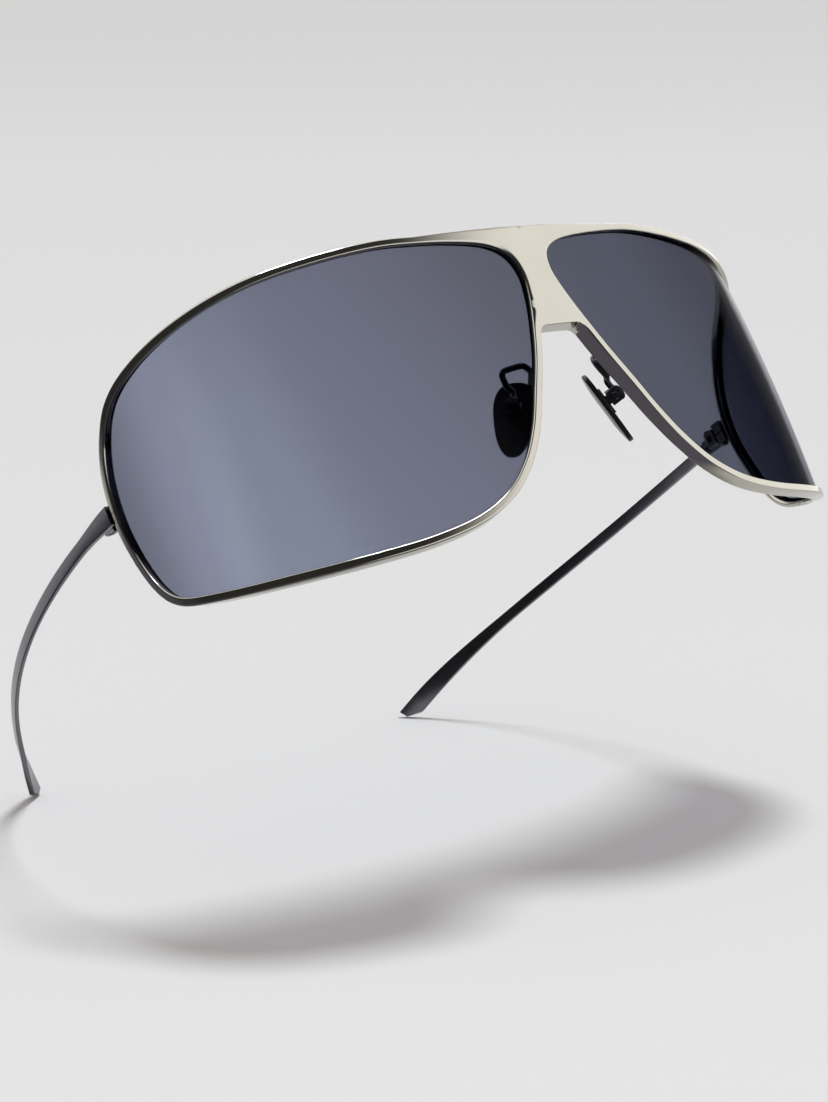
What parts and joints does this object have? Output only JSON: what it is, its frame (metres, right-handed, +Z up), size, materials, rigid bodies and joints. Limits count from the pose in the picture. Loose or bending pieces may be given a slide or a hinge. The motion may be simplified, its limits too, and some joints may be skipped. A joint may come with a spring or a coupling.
{
  "type": "sunglasses",
  "caption": "Wrapped metal sunglasses with tinted lenses in split rims, a broad bridge plate, folding temples with paddle tips and rocking nose pads.",
  "frame": {"origin": "centre of the bounding box's bottom, on the surface that the rims' lower edges and the temples' ends rest on", "axes": "+X to the wearer's left, -Y out of the lenses, +Z up"},
  "size_m": [0.1462, 0.1298, 0.0538],
  "materials": {
    "polished_metal": "polished pale ruthenium plating",
    "dark_metal": "satin gunmetal plating",
    "screw_steel": "turned steel, dark",
    "lens_tint": "gloss, blue-grey smoke tint",
    "pad_rubber": "soft, smooth, black"
  },
  "bodies": {
    "front": {"front_frame": "polished_metal", "right_lens": "lens_tint", "right_rim_lock_upper": "dark_metal", "right_rim_lock_lower": "dark_metal", "right_rim_lock_screw": "screw_steel", "right_hinge_bracket": "dark_metal", "right_hinge_screw": "screw_steel", "right_pad_arm": "dark_metal", "right_pad_box": "dark_metal", "right_pad_screw": "screw_steel", "left_lens": "lens_tint", "left_rim_lock_upper": "dark_metal", "left_rim_lock_lower": "dark_metal", "left_rim_lock_screw": "screw_steel", "left_hinge_bracket": "dark_metal", "left_hinge_screw": "screw_steel", "left_pad_arm": "dark_metal", "left_pad_box": "dark_metal", "left_pad_screw": "screw_steel"},
    "right_temple_arm": {"right_temple": "dark_metal", "right_hinge_foot": "dark_metal", "right_hinge_eye": "dark_metal"},
    "right_pad": {"right_nose_pad": "pad_rubber", "right_pad_insert": "dark_metal"},
    "left_temple_arm": {"left_temple": "dark_metal", "left_hinge_foot": "dark_metal", "left_hinge_eye": "dark_metal"},
    "left_pad": {"left_nose_pad": "pad_rubber", "left_pad_insert": "dark_metal"}
  },
  "joints": [
    {"name": "right_temple_fold", "type": "hinge", "parent": "front", "child": "right_temple_arm", "pos_m": [-0.07067, -0.0213, 0.02363], "axis": [0, -0.0818, -0.9966], "range_deg": [0, 76]},
    {"name": "left_temple_fold", "type": "hinge", "parent": "front", "child": "left_temple_arm", "pos_m": [0.07067, -0.0213, 0.02363], "axis": [0, 0.0818, 0.9966], "range_deg": [0, 90]},
    {"name": "right_pad_rock", "type": "hinge", "parent": "front", "child": "right_pad", "pos_m": [-0.0118, -0.05834, 0.02232], "axis": [0.6195, -0.709, -0.337], "range_deg": [-12, 12]},
    {"name": "left_pad_rock", "type": "hinge", "parent": "front", "child": "left_pad", "pos_m": [0.0118, -0.05834, 0.02232], "axis": [-0.6195, -0.709, -0.337], "range_deg": [-12, 12]}
  ]
}
